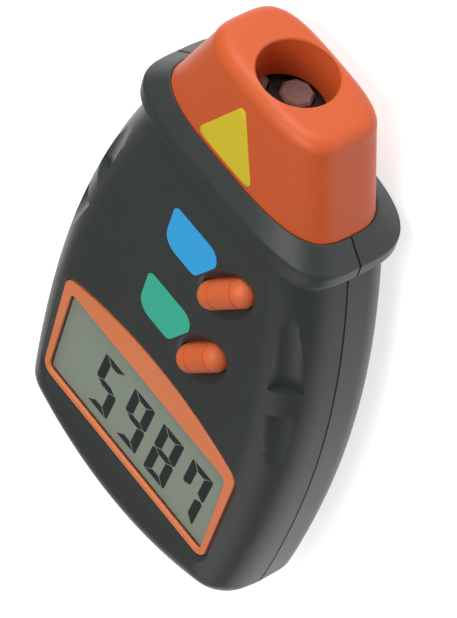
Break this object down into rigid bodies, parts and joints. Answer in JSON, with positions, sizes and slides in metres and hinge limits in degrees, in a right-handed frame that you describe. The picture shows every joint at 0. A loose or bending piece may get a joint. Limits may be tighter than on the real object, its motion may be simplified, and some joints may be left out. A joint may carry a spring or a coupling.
{
  "type": "handheld optical tachometer",
  "caption": "Handheld laser tachometer with a flared case, light port nose, angled push buttons, digit display and a slide-off battery door.",
  "frame": {"origin": "bottom centre of the whole, lying on its back: centre of the length and width, on the plane the back face rests on", "axes": "+Y along the length towards the light port nose, +Z out of the front face with the display and buttons, +X to the right seen from the front with the nose up"},
  "size_m": [0.07, 0.131, 0.03],
  "materials": {
    "case_plastic": "fine spark texture, moulded ABS",
    "nose_plastic": "smooth satin moulded ABS",
    "bezel_plastic": "smooth satin moulded ABS",
    "clear_window": "polished clear acrylic",
    "display_glass": "matte polarised glass",
    "black_plastic": "black moulded plastic",
    "zebra_rubber": "layered silicone",
    "circuit_board": "solder mask on glass epoxy",
    "chip_plastic": "moulded epoxy",
    "plated_steel": "nickel plated",
    "capacitor_sleeve": "shrink sleeve",
    "button_rubber": "satin moulded silicone",
    "white_plastic": "moulded nylon",
    "lens_plastic": "polished moulded acrylic",
    "brass_turning": "turned",
    "gold_plate": "gold plated",
    "battery_wrap": "printed steel wrap, plain",
    "black_vinyl": "soft vinyl",
    "red_insulation": "soft wire sleeve",
    "black_insulation": "soft wire sleeve",
    "grey_foam": "open foam",
    "screw_steel": "zinc plated",
    "blue_label": "printed film",
    "green_label": "printed film",
    "yellow_label": "printed film",
    "silver_label": "plain silvered film"
  },
  "bodies": {
    "case": {"front_case": "case_plastic", "rear_case": "case_plastic", "nose_hood": "nose_plastic", "display_bezel": "bezel_plastic", "display_window": "clear_window", "lcd_front_glass": "display_glass", "lcd_rear_glass": "display_glass", "lcd_holder": "black_plastic", "zebra_strips": "zebra_rubber", "main_board": "circuit_board", "controller_chip": "chip_plastic", "driver_chip": "chip_plastic", "crystal": "plated_steel", "capacitors": "capacitor_sleeve", "chip_resistors": "chip_plastic", "mem_switch": "black_plastic", "test_switch": "black_plastic", "optics_block": "black_plastic", "receiver_lens": "lens_plastic", "emitter_lens": "lens_plastic", "laser_barrel": "brass_turning", "laser_diode": "gold_plate", "photodiode": "chip_plastic", "sensor_board": "circuit_board", "pin_header": "black_plastic", "battery_can": "battery_wrap", "battery_cap": "black_plastic", "battery_terminals": "plated_steel", "snap_connector": "black_vinyl", "snap_contacts": "plated_steel", "lead_red": "red_insulation", "lead_black": "black_insulation", "battery_foam": "grey_foam", "case_screws": "screw_steel", "board_screws": "screw_steel", "mem_badge": "blue_label", "test_badge": "green_label", "nose_sticker": "yellow_label", "back_label": "silver_label"},
    "mem_button": {"mem_button": "button_rubber", "mem_plunger": "white_plastic"},
    "test_button": {"test_button": "button_rubber", "test_plunger": "white_plastic"},
    "battery_door": {"battery_door": "case_plastic"}
  },
  "joints": [
    {"name": "mem_button_press", "type": "slide", "parent": "case", "child": "mem_button", "axis": [0, 0, -1], "range_m": [0, 0.0007], "stiffness_N_per_m": 1500},
    {"name": "test_button_press", "type": "slide", "parent": "case", "child": "test_button", "axis": [0, 0, -1], "range_m": [0, 0.0007], "stiffness_N_per_m": 1500},
    {"name": "battery_door_slide", "type": "slide", "parent": "case", "child": "battery_door", "axis": [0, -1, 0], "range_m": [0, 0.05]}
  ]
}
